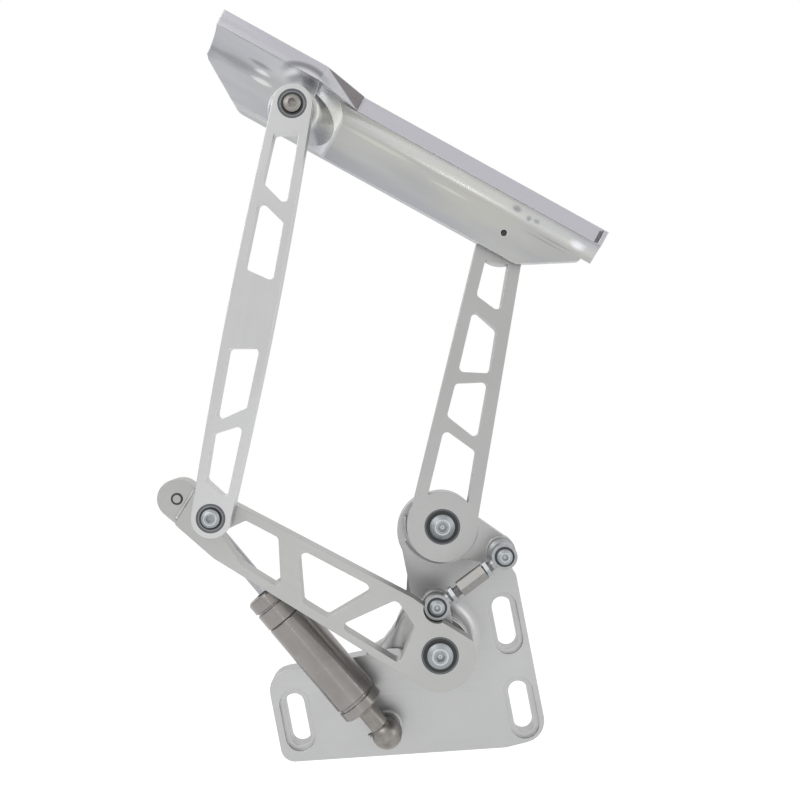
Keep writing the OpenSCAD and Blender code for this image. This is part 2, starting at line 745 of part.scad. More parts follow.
module rear_arm() {
    color("silver") upright() difference() {
        union() {
            on(rear_pivot, rear_deg) difference() {
                union() {
                    slab(rear_outline(), rear_back, rear_face);
                    disc(rear_hub_r, rear_back, rear_face);
                    on([rear_len, 0]) disc(rear_end_r, rear_back, rear_face);
                }
                difference() {
                    for (w = rear_windows)
                        slab(window(rear_end(rear_len * w[0][0], w[0][1]), rear_end(rear_len * w[1][0], w[1][1]), 3),
                            rear_back - 1, rear_face + 1);
                    disc(rear_hub_r - 0.5, rear_back - 2, rear_face + 2);
                    on([rear_len, 0]) disc(rear_end_r + 4, rear_back - 2, rear_face + 2);
                }
            }
            on(ear_pin) disc(ear_r, rear_back, rear_face);
            slab([rear_pivot + polar(rear_hub_r - 1, rear_deg + ear_deg + 42),
                ear_pin + polar(ear_r - 0.2, rear_deg + ear_deg + 80),
                ear_pin + polar(ear_r - 0.2, rear_deg + ear_deg - 80),
                rear_pivot + polar(rear_hub_r - 1, rear_deg + ear_deg - 42)],
                rear_back + relief, rear_face - relief);
        }
        on(rear_pivot) bearing_seat(big_od, big_w, stub_big_r + run_gap, rear_back, rear_face);
        on(tail) bearing_seat(small_od, small_w, stub_small_r + run_gap, rear_back, rear_face);
        on(ear_pin) disc(pin_screw_d / 2, rear_back - 1, rear_face + 1);
    }
}

module rear_pivot_outer_race() {
    color("slategray") upright() on(rear_pivot) outer_race(big_od, big_w, big_bore, rear_face);
}

module rear_pivot_balls() {
    color("white") upright() on(rear_pivot) race_balls(big_od, big_w, big_bore, rear_face);
}

module rear_pivot_seal() {
    color("black") upright() on(rear_pivot) race_seal(big_od, big_bore, rear_face);
}

module tail_outer_race() {
    color("slategray") upright() on(tail) outer_race(small_od, small_w, small_bore, rear_face);
}

module tail_balls() {
    color("white") upright() on(tail) race_balls(small_od, small_w, small_bore, rear_face);
}

module tail_seal() {
    color("black") upright() on(tail) race_seal(small_od, small_bore, rear_face);
}

module ear_screw() {
    color("gainsboro") upright() on(ear_pin)
        button_screw(pin_screw_d, pin_head_d, link_face + side_gap, rear_back - 3.6, 3);
}

// Stepped spacer that stands the rod end off the rear arm
module ear_spacer() {
    color("lightsteelblue") upright() on(ear_pin) difference() {
        union() {
            disc(ear_r - 0.8, rear_face, rear_face + 4);
            translate([0, 0, rear_face + 4]) cylinder(r1 = ear_r - 0.8, r2 = 5.4, h = 3);
            disc(5.4, rear_face + 7, link_back - side_gap);
        }
        disc(pin_screw_d / 2, rear_face - 1, link_back + 1);
    }
}

module ear_nut() {
    color("gainsboro") upright() on(ear_pin) hex_ring(8, pin_screw_d, rear_back - 3.2, rear_back);
}

// Rod end with its eye at the origin and its shank running along X
module rod_end(shank) {
    difference() {
        union() {
            translate([0, 0, link_mid - eye_w / 2]) cylinder(r = eye_r, h = eye_w);
            translate([eye_r - 1.4, 0, link_mid]) rotate([0, 90, 0]) cylinder(r = eye_w / 2, h = 3);
            translate([eye_r, 0, link_mid]) rotate([0, 90, 0]) cylinder(d = shank_d, h = shank - eye_r);
        }
        translate([0, 0, link_mid]) sphere(r = ball_r + run_gap);
    }
}

module along_link() on(lever_pin, link_deg) children();

sleeve_from = link_len * 0.345;
lower_nut_from = link_len * 0.215;
upper_nut_from = sleeve_from + sleeve_len + 0.8;
shank_len = link_len / 2 - 1.5;

module link_sleeve() {
    color("tan") upright() along_link() translate([sleeve_from, 0, link_mid]) rotate([0, 90, 0])
        hex_ring(sleeve_af, shank_d + 2 * seat_gap, 0, sleeve_len);
}

module link_lower_eye() {
    color("gainsboro") upright() along_link() rod_end(shank_len);
}

module link_upper_eye() {
    color("gainsboro") upright() along_link() translate([link_len, 0, 0]) rotate([0, 0, 180]) rod_end(shank_len);
}

module link_upper_ball() {
    color("dimgray") upright() on(ear_pin) rod_ball(pin_screw_d + 2 * link_gap);
}

module link_nut(from)
    upright() along_link() translate([from, 0, link_mid]) rotate([0, 90, 0])
        hex_ring(nut_af, shank_d + 2 * seat_gap, 0, nut_t);

module link_lower_nut() {
    color("silver") link_nut(lower_nut_from);
}

module link_upper_nut() {
    color("silver") link_nut(upper_nut_from);
}

// Sections of the strut, measured from the centre of its ball
bore_r = strut_d / 2 - strut_wall;
tube_to = tube_from + tube_len;
cap_to = tube_to + cap_len;
piston_at = tube_from + piston_from;
rod_to = strut_len - pin_lobe_r - pin_gap - 0.5;

socket_neck_r = 6;
clip_low = 3.2;

module turned(points) rotate_extrude() polygon(points);

module strut_tube() {
    color("rosybrown") upright() along_strut() turned([[bore_r, tube_from], [strut_d / 2 - 0.6, tube_from],
        [strut_d / 2, tube_from + 0.6], [strut_d / 2, tube_to - 0.6], [strut_d / 2 - 0.6, tube_to],
        [bore_r, tube_to]]);
}

module strut_cap() {
    r = strut_d / 2;
    color("rosybrown") upright() along_strut() turned([[rod_d / 2 + 1.2, tube_to - 7], [bore_r - seat_gap, tube_to - 7],
        [bore_r - seat_gap, tube_to], [r - 1, tube_to], [r, tube_to + 1], [r, tube_to + 11.2],
        [r - 1.2, tube_to + 11.6], [r - 1.2, tube_to + 12.6], [r, tube_to + 13], [r, cap_to - 1.4],
        [r - 1.4, cap_to], [rod_d / 2 + run_gap, cap_to], [rod_d / 2 + run_gap, cap_to - 8],
        [rod_d / 2 + 1.2, cap_to - 8]]);
}

module strut_rod_seal() {
    color("black") upright() along_strut() turned([[rod_d / 2 + run_gap, tube_to - 5], [rod_d / 2 + 1.2 - seat_gap, tube_to - 5],
        [rod_d / 2 + 1.2 - seat_gap, cap_to - 8 - seat_gap], [rod_d / 2 + run_gap, cap_to - 8 - seat_gap]]);
}

module strut_foot() {
    r = strut_d / 2;
    color("rosybrown") upright() along_strut() turned([[3, tube_from - 10], [7, tube_from - 10], [r - 1.2, tube_from - 8.6],
        [r, tube_from - 7.4], [r, tube_from - 2.2], [r - 1.2, tube_from - 1.8], [r - 1.2, tube_from],
        [bore_r - seat_gap, tube_from], [bore_r - seat_gap, tube_from + 6], [3, tube_from + 6]]);
}

module strut_socket() {
    color("gray") upright() difference() {
        union() {
            on(ball_at) translate([0, 0, strut_mid]) sphere(r = socket_r);
            along_strut() turned([[0, 3], [socket_neck_r, 3], [socket_neck_r, tube_from - 11.4], [socket_neck_r + 0.6, tube_from - 11],
                [socket_neck_r + 0.6, tube_from - 10],
                [3 - seat_gap, tube_from - 10], [3 - seat_gap, tube_from + 4], [0, tube_from + 4]]);
        }
        on(ball_at) {
            translate([0, 0, strut_mid]) sphere(r = stud_ball_r + run_gap);
            translate([0, 0, strut_mid - socket_r]) cylinder(r1 = stud_ball_r - 0.5, r2 = stud_ball_r - 1.2, h = socket_r);
            disc(socket_r + 2, plate_t, strut_mid - socket_r + 2.2);
        }
    }
}

// Wire that keeps the socket on its ball
module strut_socket_clip() {
    color("gainsboro") upright() on(ball_at) translate([0, 0, strut_mid - clip_low]) difference() {
        rotate_extrude() translate([socket_r - 0.3, 0]) circle(r = 0.55, $fn = 24);
        translate([0, 0, clip_low]) sphere(r = socket_r + seat_gap);
        translate([0, 0, clip_low]) rotate([0, 0, strut_deg]) rotate([0, 90, 0])
            cylinder(r = socket_neck_r + seat_gap, h = 2 * socket_r);
    }
}

module strut_rod() {
    color("gainsboro") upright() along_strut() disc(rod_d / 2, piston_at - 3, rod_to);
}

module strut_piston() {
    color("dimgray") upright() along_strut() difference() {
        disc(bore_r - run_gap, piston_at, piston_at + piston_t);
        disc(rod_d / 2 + seat_gap, piston_at - 1, piston_at + piston_t + 1);
    }
}

module strut_eye() {
    color("dimgray") upright() difference() {
        union() {
            on(strut_top) disc(strut_eye_r, strut_mid - strut_eye_w / 2, strut_mid + strut_eye_w / 2);
            along_strut() disc(7, rod_to - 8, rod_to + 0.5);
            on(ball_at, strut_deg) slab([[rod_to, -6], [strut_len, -6], [strut_len, 6], [rod_to, 6]],
                strut_mid - strut_eye_w / 2, strut_mid + strut_eye_w / 2);
        }
        along_strut() disc(rod_d / 2 + seat_gap, rod_to - 9, rod_to);
        on(strut_top) disc(strut_pin_d / 2 + pin_gap, 0, strut_mid * 2);
    }
}

module strut_eye_nut() {
    color("gainsboro") upright() along_strut()
        hex_ring(13, rod_d + 2 * seat_gap, rod_to - 12.5, rod_to - 8.2);
}

base_plate();
rear_pivot_screw();
rear_pivot_inner_race();
main_pivot_screw();
main_pivot_inner_race();
strut_ball_stud();
lower_arm();
main_pivot_outer_race();
main_pivot_balls();
main_pivot_seal();
elbow_screw();
elbow_inner_race();
strut_pin();
strut_pin_clip();
lever_screw();
lever_ball();
front_arm();
elbow_outer_race();
elbow_balls();
elbow_seal();
nose_outer_race();
nose_balls();
nose_seal();
bonnet_rail();
nose_screw();
nose_inner_race();
tail_screw();
tail_inner_race();
rear_arm();
rear_pivot_outer_race();
rear_pivot_balls();
rear_pivot_seal();
tail_outer_race();
tail_balls();
tail_seal();
ear_screw();
ear_spacer();
ear_nut();
link_sleeve();
link_lower_eye();
link_upper_eye();
link_upper_ball();
link_lower_nut();
link_upper_nut();
strut_tube();
strut_cap();
strut_rod_seal();
strut_foot();
strut_socket();
strut_socket_clip();
strut_rod();
strut_piston();
strut_eye();
strut_eye_nut();
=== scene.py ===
"""Looks for the car bonnet hinge: finishes for its solids, fine parts, room, lamps and camera."""

import math

import bpy
import numpy as np
from mathutils import Matrix, Vector


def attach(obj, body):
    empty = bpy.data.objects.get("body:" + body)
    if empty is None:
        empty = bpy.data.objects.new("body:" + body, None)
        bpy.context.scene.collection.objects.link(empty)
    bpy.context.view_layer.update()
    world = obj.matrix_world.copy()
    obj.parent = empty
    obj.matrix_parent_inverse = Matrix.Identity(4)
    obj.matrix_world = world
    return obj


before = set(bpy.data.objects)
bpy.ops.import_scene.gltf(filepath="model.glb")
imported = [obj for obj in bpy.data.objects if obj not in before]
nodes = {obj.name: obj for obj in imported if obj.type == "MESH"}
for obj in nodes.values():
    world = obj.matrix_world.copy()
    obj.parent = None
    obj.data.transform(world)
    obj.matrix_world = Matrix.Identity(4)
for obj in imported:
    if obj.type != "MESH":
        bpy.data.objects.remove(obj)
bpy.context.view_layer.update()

# The hinge was photographed square on, from 600 mm in front of its mounting plate, with the
# camera turned 11 degrees about its own axis.
lens_pixels, picture_pixels, sensor_mm = 909.0, 800.0, 36.0
turn = math.radians(11.037)
camera_place = (-0.039, -0.6, 0.1823)
camera_data = bpy.data.cameras.new("camera")
camera_data.sensor_width = sensor_mm
camera_data.lens = lens_pixels / picture_pixels * sensor_mm
camera_data.clip_start = 0.01
camera = bpy.data.objects.new("camera", camera_data)
bpy.context.scene.collection.objects.link(camera)
right = Vector((math.cos(turn), 0, -math.sin(turn)))
up = Vector((math.sin(turn), 0, math.cos(turn)))
camera.matrix_world = Matrix.Translation(camera_place) @ Matrix((
    (right.x, up.x, 0), (right.y, up.y, -1), (right.z, up.z, 0))).to_4x4()
bpy.context.scene.camera = camera
bpy.context.scene.view_settings.view_transform = "Standard"


# Two soft boxes, a small lamp low in front and a white room light the part. The room is plain
# white to the camera. In reflections it darkens towards the floor and the camera's side, with
# one dark flag low on the left.
def soft_box(name, place, target, size, watts):
    """A rectangular area lamp at place, turned to face target."""
    data = bpy.data.lights.new(name, "AREA")
    data.shape = "RECTANGLE"
    data.size, data.size_y = size
    data.energy = watts
    lamp = bpy.data.objects.new(name, data)
    bpy.context.scene.collection.objects.link(lamp)
    lamp.location = place
    lamp.rotation_euler = (Vector(target) - Vector(place)).to_track_quat("-Z", "Y").to_euler()


part_middle, strut_middle = (-0.04, 0, 0.18), (-0.135, -0.03, 0.06)
soft_box("key_box", (-0.75, -0.75, 1.05), part_middle, (0.9, 0.6), 5.0)
soft_box("side_box", (0.95, -0.55, 0.35), part_middle, (0.5, 0.9), 2.0)
soft_box("front_box", (-0.27, -1.02, -0.016), strut_middle, (0.1, 0.1), 0.14)

world = bpy.data.worlds.new("studio")
bpy.context.scene.world = world
world.use_nodes = True
room = world.node_tree
room.nodes.clear()


def room_node(kind, **values):
    """Adds one node to the room's shader; names with a number set that input."""
    node = room.nodes.new(kind)
    for key, value in values.items():
        if key.startswith("in_"):
            node.inputs[int(key[3:])].default_value = value
        else:
            setattr(node, key, value)
    return node


ray = room_node("ShaderNodeLightPath")
seen = room_node("ShaderNodeBackground", in_0=(1, 1, 1, 1), in_1=1.0)
lit = room_node("ShaderNodeBackground", in_0=(0.97, 0.98, 1, 1), in_1=0.62)
mirrored = room_node("ShaderNodeBackground", in_1=1.0)
mirror_or_glass = room_node("ShaderNodeMath", operation="MAXIMUM")
not_seen = room_node("ShaderNodeMixShader")
whole = room_node("ShaderNodeMixShader")
room_out = room_node("ShaderNodeOutputWorld")
direction = room_node("ShaderNodeTexCoord")
split = room_node("ShaderNodeSeparateXYZ")
height = room_node("ShaderNodeMapRange", interpolation_type="SMOOTHSTEP",
                   in_1=-0.9, in_2=0.5, in_3=0.8, in_4=1.04)
depth = room_node("ShaderNodeMapRange", interpolation_type="SMOOTHSTEP",
                  in_1=-1.0, in_2=0.3, in_3=0.97, in_4=1.0)
patches = room_node("ShaderNodeTexNoise", in_2=1.7, in_3=1.0)
patch_range = room_node("ShaderNodeMapRange", in_1=0.3, in_2=0.7, in_3=0.88, in_4=1.06)
toward_flag = room_node("ShaderNodeVectorMath", operation="DOT_PRODUCT",
                        in_1=(-0.49, -0.64, -0.59))
flag = room_node("ShaderNodeMapRange", interpolation_type="SMOOTHSTEP",
                 in_1=0.9, in_2=0.985, in_3=1.0, in_4=0.55)
with_flag = room_node("ShaderNodeMath", operation="MULTIPLY")
with_depth = room_node("ShaderNodeMath", operation="MULTIPLY")
with_patches = room_node("ShaderNodeMath", operation="MULTIPLY")
grey = room_node("ShaderNodeCombineXYZ")
for start, end in (
        (direction.outputs["Generated"], split.inputs[0]),
        (direction.outputs["Generated"], patches.inputs[0]),
        (direction.outputs["Generated"], toward_flag.inputs[0]),
        (split.outputs[2], height.inputs[0]), (split.outputs[1], depth.inputs[0]),
        (patches.outputs[0], patch_range.inputs[0]),
        (toward_flag.outputs["Value"], flag.inputs[0]),
        (height.outputs[0], with_depth.inputs[0]), (depth.outputs[0], with_depth.inputs[1]),
        (with_depth.outputs[0], with_flag.inputs[0]), (flag.outputs[0], with_flag.inputs[1]),
        (with_flag.outputs[0], with_patches.inputs[0]),
        (patch_range.outputs[0], with_patches.inputs[1]),
        (with_patches.outputs[0], grey.inputs[0]), (with_patches.outputs[0], grey.inputs[1]),
        (with_patches.outputs[0], grey.inputs[2]), (grey.outputs[0], mirrored.inputs[0]),
        (ray.outputs["Is Glossy Ray"], mirror_or_glass.inputs[0]),
        (ray.outputs["Is Transmission Ray"], mirror_or_glass.inputs[1]),
        (mirror_or_glass.outputs[0], not_seen.inputs[0]),
        (lit.outputs[0], not_seen.inputs[1]), (mirrored.outputs[0], not_seen.inputs[2]),
        (ray.outputs["Is Camera Ray"], whole.inputs[0]),
        (not_seen.outputs[0], whole.inputs[1]), (seen.outputs[0], whole.inputs[2]),
        (whole.outputs[0], room_out.inputs[0])):
    room.links.new(start, end)


# The plate, the arms and the rail are milled from solid aluminium and tumbled. A fine grain is
# left by the stones, faint cutter lines lie under it, and the corners are painted brighter, partly
# for rubbing and partly as a painted highlight along the edges.
class Finish:
    """One material's node tree, with short ways to add a node, wire it and reach the shader."""

    def __init__(self, name):
        self.material = bpy.data.materials.new(name)
        self.material.use_nodes = True
        self.tree = self.material.node_tree
        self.shader = self.tree.nodes["Principled BSDF"]
        self.place = self.add("ShaderNodeTexCoord").outputs["Object"]

    def add(self, kind, *wires, **values):
        """A node; wires are (input, socket or number) pairs, values are its properties."""
        node = self.tree.nodes.new(kind)
        for key, value in values.items():
            setattr(node, key, value)
        for key, value in wires:
            if hasattr(value, "is_linked"):
                self.tree.links.new(value, node.inputs[key])
            else:
                node.inputs[key].default_value = value
        return node

    def number(self, operation, *values):
        """A product, a difference or the like of numbers or sockets."""
        return self.add("ShaderNodeMath", *enumerate(values), operation=operation).outputs[0]

    def vector(self, operation, *values):
        """The same for vectors. A dot product or a length comes out as a number."""
        node = self.add("ShaderNodeVectorMath", *enumerate(values), operation=operation)
        return node.outputs["Value" if operation in ("DOT_PRODUCT", "LENGTH") else "Vector"]

    def set(self, **values):
        """Sets inputs of the shader, named with an underscore for each space."""
        for key, value in values.items():
            self.shader.inputs[key.replace("_", " ")].default_value = value

    def wire(self, socket, key):
        """Wires a socket to the shader's input of that name."""
        self.tree.links.new(socket, self.shader.inputs[key])

    def stretched(self, way, scale, stretch, detail=2.0):
        """Noise over the coordinates way; a stretch below 1 draws its patches out that way."""
        squeezed = self.add("ShaderNodeMapping", ("Vector", way), ("Scale", stretch))
        return self.add("ShaderNodeTexNoise", ("Vector", squeezed.outputs[0]), ("Scale", scale),
                        ("Detail", detail)).outputs[0]

    def noise(self, scale, detail=2.0, stretch=(1, 1, 1), turned=0.0):
        """Noise whose patches are stretched along a line turned about the depth axis."""
        spread = self.add("ShaderNodeMapping", ("Vector", self.place),
                          ("Rotation", (0, math.radians(turned), 0)))
        return self.stretched(spread.outputs[0], scale, stretch, detail)

    def ranged(self, socket, low, high, from_low=0.3, from_high=0.7):
        """Low where the socket is at from_low, high at from_high, straight between, then held."""
        return self.add("ShaderNodeMapRange", ("Value", socket), (1, from_low), (2, from_high),
                        (3, low), (4, high)).outputs[0]

    def blend(self, share, first, second):
        """Mixes two colours, or a colour socket and a colour, by a share."""
        node = self.add("ShaderNodeMix", ("Factor", share), data_type="RGBA")
        for place, value in ((6, first), (7, second)):
            if hasattr(value, "is_linked"):
                self.tree.links.new(value, node.inputs[place])
            else:
                node.inputs[place].default_value = (*value, 1)
        return node.outputs[2]

    def bump(self, socket, strength, distance, under=None):
        """The normal tilted by the slope of a height, over another normal where one is given."""
        wires = [("Height", socket), ("Strength", strength), ("Distance", distance)]
        if under is not None:
            wires.append(("Normal", under))
        return self.add("ShaderNodeBump", *wires).outputs[0]

    def soft_edge(self, radius):
        """The normal as it would be with every corner rounded by the radius."""
        return self.add("ShaderNodeBevel", ("Radius", radius), samples=6).outputs[0]

    def edge_share(self, softened):
        """0 on a flat face, rising to 1 where the softened normal leaves the true one."""
        flat = self.add("ShaderNodeNewGeometry").outputs["Normal"]
        return self.ranged(self.vector("DOT_PRODUCT", softened, flat), 1.0, 0.0, 0.8, 0.995)

    def give_to(self, *names):
        """Puts the finish on CAD nodes."""
        for name in names:
            nodes[name].material_slots[0].material = self.material


def tumbled_alloy(name, tone, rough, turned, lines=0.5, edge=0.0006, stain=0.05):
    """Milled aluminium: a tone, the stones' grain, cutter lines at an angle, and corners painted
    bright for rubbing and as a highlight.
    """
    finish = Finish(name)
    softened = finish.soft_edge(edge)
    clouds = finish.noise(22.0, 3.0)
    grain = finish.noise(1400.0, 2.0)
    cutter = finish.noise(70.0, 3.0, (0.35, 14, 14), turned)
    scuffs = finish.noise(160.0, 5.0, (1, 5, 3), turned + 38)
    dark = tuple(c * (1 - stain) for c in tone)
    rubbed_and_highlit = tuple(min(1, c * 1.14) for c in tone)
    colour = finish.blend(finish.ranged(clouds, 0.0, 1.0), dark, tone)
    colour = finish.blend(finish.ranged(scuffs, 0.0, 0.5, 0.62, 0.8), colour, dark)
    # The corners get a brighter tone: partly rubbing, partly a painted highlight.
    colour = finish.blend(finish.edge_share(softened), colour, rubbed_and_highlit)
    finish.wire(colour, "Base Color")
    finish.wire(finish.ranged(cutter, rough - 0.06 * lines, rough + 0.08 * lines), "Roughness")
    relief = finish.bump(cutter, 0.12 * lines, 0.0002, softened)
    relief = finish.bump(grain, 0.05, 0.0001, relief)
    finish.wire(relief, "Normal")
    finish.set(Metallic=1.0)
    return finish


plate_alloy = tumbled_alloy("plate_finish", (0.473, 0.473, 0.472), 0.4, -7, 0.6, 0.0008, 0.08)
plate_alloy.give_to("base_plate")
lower_alloy = tumbled_alloy("lower_arm_finish", (0.43, 0.433, 0.419), 0.4, -42.7)
lower_alloy.give_to("lower_arm")
tumbled_alloy("rear_arm_finish", (0.436, 0.436, 0.43), 0.4, 67.3).give_to("rear_arm")
tumbled_alloy("front_arm_finish", (0.56, 0.56, 0.562), 0.38, 67.9, 0.4).give_to("front_arm")

# The rail is polished along its length after milling, so its web carries long warm and cool
# streaks. All its marks are drawn from the nose pivot, along the rail and across it.
nose_at, rail_turn = (-0.067754, 0, 0.3649), -39.96
rail_finish = Finish("rail_finish")
from_nose = rail_finish.vector("SUBTRACT", rail_finish.place, nose_at)
rail_way = rail_finish.add("ShaderNodeMapping", ("Vector", from_nose),
                           ("Rotation", (0, math.radians(rail_turn), 0))).outputs[0]
broad = rail_finish.stretched(rail_way, 55.0, (0.16, 1, 1))
fine = rail_finish.stretched(rail_way, 240.0, (0.05, 0.6, 1), 3.0)
hue = rail_finish.stretched(rail_way, 30.0, (0.35, 1, 1.4))
web_tone = rail_finish.blend(rail_finish.ranged(broad, 0.0, 1.0, 0.36, 0.64),
                             (0.4, 0.405, 0.41), (0.49, 0.495, 0.485))
web_tone = rail_finish.blend(rail_finish.ranged(hue, 0.0, 0.75, 0.5, 0.7), web_tone,
                             (0.52, 0.513, 0.47))
web_tone = rail_finish.blend(rail_finish.ranged(hue, 0.6, 0.0, 0.3, 0.5), web_tone,
                             (0.41, 0.415, 0.46))

# The front of the web carries painted marks. Dark patches beside the nose pivot are painted shade,
# and bright spots by it, thin bright dashes between and a bright spot at the tail are painted
# highlights. The tail also has small dark marks and thin dark lines.
facing = rail_finish.add("ShaderNodeTexCoord").outputs["Normal"]
front_only = rail_finish.ranged(rail_finish.vector("DOT_PRODUCT", facing, (0, -1, 0)),
                                0.0, 1.0, 0.1, 0.3)


def mark(along, across, half_long, half_wide):
    """A soft spot on the web: 1 at its middle, 0 past its half length and half width."""
    moved = rail_finish.vector("SUBTRACT", rail_way, (along, 0, across))
    shaped = rail_finish.vector("MULTIPLY", moved, (1 / half_long, 0, 1 / half_wide))
    ragged = rail_finish.number("ADD", rail_finish.vector("LENGTH", shaped),
                                rail_finish.ranged(fine, -0.25, 0.25))
    return rail_finish.number("MULTIPLY", rail_finish.ranged(ragged, 1.0, 0.0, 0.35, 1.0),
                              front_only)


# One row per mark: the dark tones by the nose are painted shade, the bright tones painted
# highlights.
for along, across, half_long, half_wide, spot in (
        (-0.0655, 0.0068, 0.0140, 0.0055, (0.32, 0.33, 0.345)),
        (-0.0450, 0.0082, 0.0190, 0.0042, (0.33, 0.34, 0.355)),
        (-0.0305, 0.0135, 0.0090, 0.0016, (0.28, 0.285, 0.3)),
        (-0.0275, 0.0103, 0.0060, 0.0015, (0.72, 0.72, 0.72)),
        (-0.0255, 0.0055, 0.0075, 0.0017, (0.72, 0.72, 0.71)),
        (0.0520, 0.0102, 0.0300, 0.0016, (0.6, 0.595, 0.55)),
        (0.1040, 0.0068, 0.0220, 0.0014, (0.62, 0.615, 0.57)),
        (0.1455, 0.0163, 0.0036, 0.0024, (0.29, 0.29, 0.3)),
        (0.1548, 0.0146, 0.0024, 0.0020, (0.28, 0.28, 0.29)),
        (0.1598, 0.0153, 0.0026, 0.0016, (0.31, 0.31, 0.32)),
        (0.1690, 0.0074, 0.0220, 0.0006, (0.33, 0.33, 0.35)),
        (0.1760, 0.0098, 0.0150, 0.0005, (0.34, 0.34, 0.36)),
        (0.1890, 0.0145, 0.0065, 0.0028, (0.7, 0.7, 0.71))):
    web_tone = rail_finish.blend(mark(along, across, half_long, half_wide), web_tone, spot)

# The stepped lip above the web looks lavender. Where it steps back behind the nose, its end faces
# are painted darker as shade, and a slanted facet among them, which turns away from the light, is
# painted darker still.
rail_parts = rail_finish.add("ShaderNodeSeparateXYZ", ("Vector", rail_way))
along_rail, across_rail = rail_parts.outputs[0], rail_parts.outputs[2]
lip_share = rail_finish.ranged(across_rail, 0.0, 1.0, 0.0196, 0.0206)
rail_tone = rail_finish.blend(lip_share, web_tone, (0.51, 0.497, 0.54))
tailward = rail_finish.vector("DOT_PRODUCT", facing, (0.7665, 0, -0.6423))
painted_end_shade = rail_finish.number("MULTIPLY", rail_finish.ranged(tailward, 0.0, 1.0, 0.2, 0.35),
                               lip_share)
slant_line = rail_finish.number("MULTIPLY_ADD", along_rail, 0.396, across_rail)
painted_slant_shade = rail_finish.number("MULTIPLY", painted_end_shade,
                                 rail_finish.ranged(slant_line, 0.0, 1.0, 0.0322, 0.0328))
# Painted shade on the end faces, deeper on the slanted facet.
rail_tone = rail_finish.blend(painted_end_shade, rail_tone, (0.3, 0.3, 0.315))
rail_tone = rail_finish.blend(painted_slant_shade, rail_tone, (0.13, 0.121, 0.124))

# Three arcs above the nose pivot are painted: two dark ones as painted shade and a bright one
# between them as a painted highlight, where the real rail has a machined bowl round the pivot.
in_plane = rail_finish.vector("MULTIPLY", rail_way, (1, 0, 1))
nose_far = rail_finish.vector("LENGTH", in_plane)
nose_side = rail_finish.vector("DOT_PRODUCT", rail_finish.vector("NORMALIZE", in_plane),
                               (-0.09, 0, 0.996))
for ring_r, core, half, spot in ((0.0244, 0.0007, 0.0023, (0.23, 0.235, 0.25)),
                                 (0.0176, 0.0008, 0.0026, (0.31, 0.315, 0.33)),
                                 (0.0208, 0.0004, 0.0018, (0.6, 0.6, 0.62))):
    off_ring = rail_finish.number("ABSOLUTE", rail_finish.number("SUBTRACT", nose_far, ring_r))
    painted_arc_share = rail_finish.number("MULTIPLY", rail_finish.ranged(off_ring, 1.0, 0.0, core, half),
                                   rail_finish.ranged(nose_side, 0.0, 0.9, 0.72, 0.9))
    rail_tone = rail_finish.blend(rail_finish.number("MULTIPLY", painted_arc_share, front_only),
                                  rail_tone, spot)
# The rail's corners are painted brighter as well, partly for rubbing and partly as a painted
# highlight.
rail_soft = rail_finish.soft_edge(0.0007)
rail_tone = rail_finish.blend(rail_finish.edge_share(rail_soft), rail_tone, (0.64, 0.64, 0.64))
rail_finish.wire(rail_tone, "Base Color")
rail_finish.wire(rail_finish.ranged(fine, 0.24, 0.36), "Roughness")
rail_relief = rail_finish.bump(fine, 0.05, 0.0002, rail_soft)
rail_relief = rail_finish.bump(broad, 0.25, 0.0012, rail_relief)
rail_finish.wire(rail_relief, "Normal")
rail_finish.set(Metallic=1.0)
rail_finish.give_to("bonnet_rail")


# Each pivot runs in a sealed ball bearing: ground steel races, polished balls and a black
# rubber seal pressed over them, which carries a fine moulded lip.
def metal(name, tone, rough, edge=0.0003, spread=0.12, scale=500.0):
    """Plain steel: clouded tone, fine grain in its roughness, softened corners."""
    finish = Finish(name)
    softened = finish.soft_edge(edge)
    clouds = finish.noise(scale, 4.0)
    dark = tuple(c * (1 - spread) for c in tone)
    colour = finish.blend(finish.ranged(clouds, 0.0, 1.0), dark, tone)
    finish.wire(colour, "Base Color")
    finish.wire(finish.ranged(clouds, rough - 0.05, rough + 0.07), "Roughness")
    finish.wire(finish.bump(finish.noise(2600.0, 2.0), 0.06, 0.0001, softened), "Normal")
    finish.set(Metallic=1.0)
    return finish


race_finish = metal("race_finish", (0.15, 0.155, 0.16), 0.36)
race_finish.give_to(*[n for n in nodes if n.endswith("_race")])
ball_finish = metal("ball_finish", (0.7, 0.7, 0.71), 0.12)
ball_finish.give_to(*[n for n in nodes if n.endswith("_balls")])

seal_finish = Finish("seal_finish")
speckle = seal_finish.noise(1800.0, 3.0)
seal_finish.wire(seal_finish.blend(speckle, (0.024, 0.026, 0.028), (0.05, 0.052, 0.055)),
                 "Base Color")
seal_finish.wire(seal_finish.ranged(speckle, 0.42, 0.6), "Roughness")
seal_finish.wire(seal_finish.bump(speckle, 0.1, 0.0001, seal_finish.soft_edge(0.0002)), "Normal")
seal_finish.give_to(*[n for n in nodes if n.endswith("_seal")])


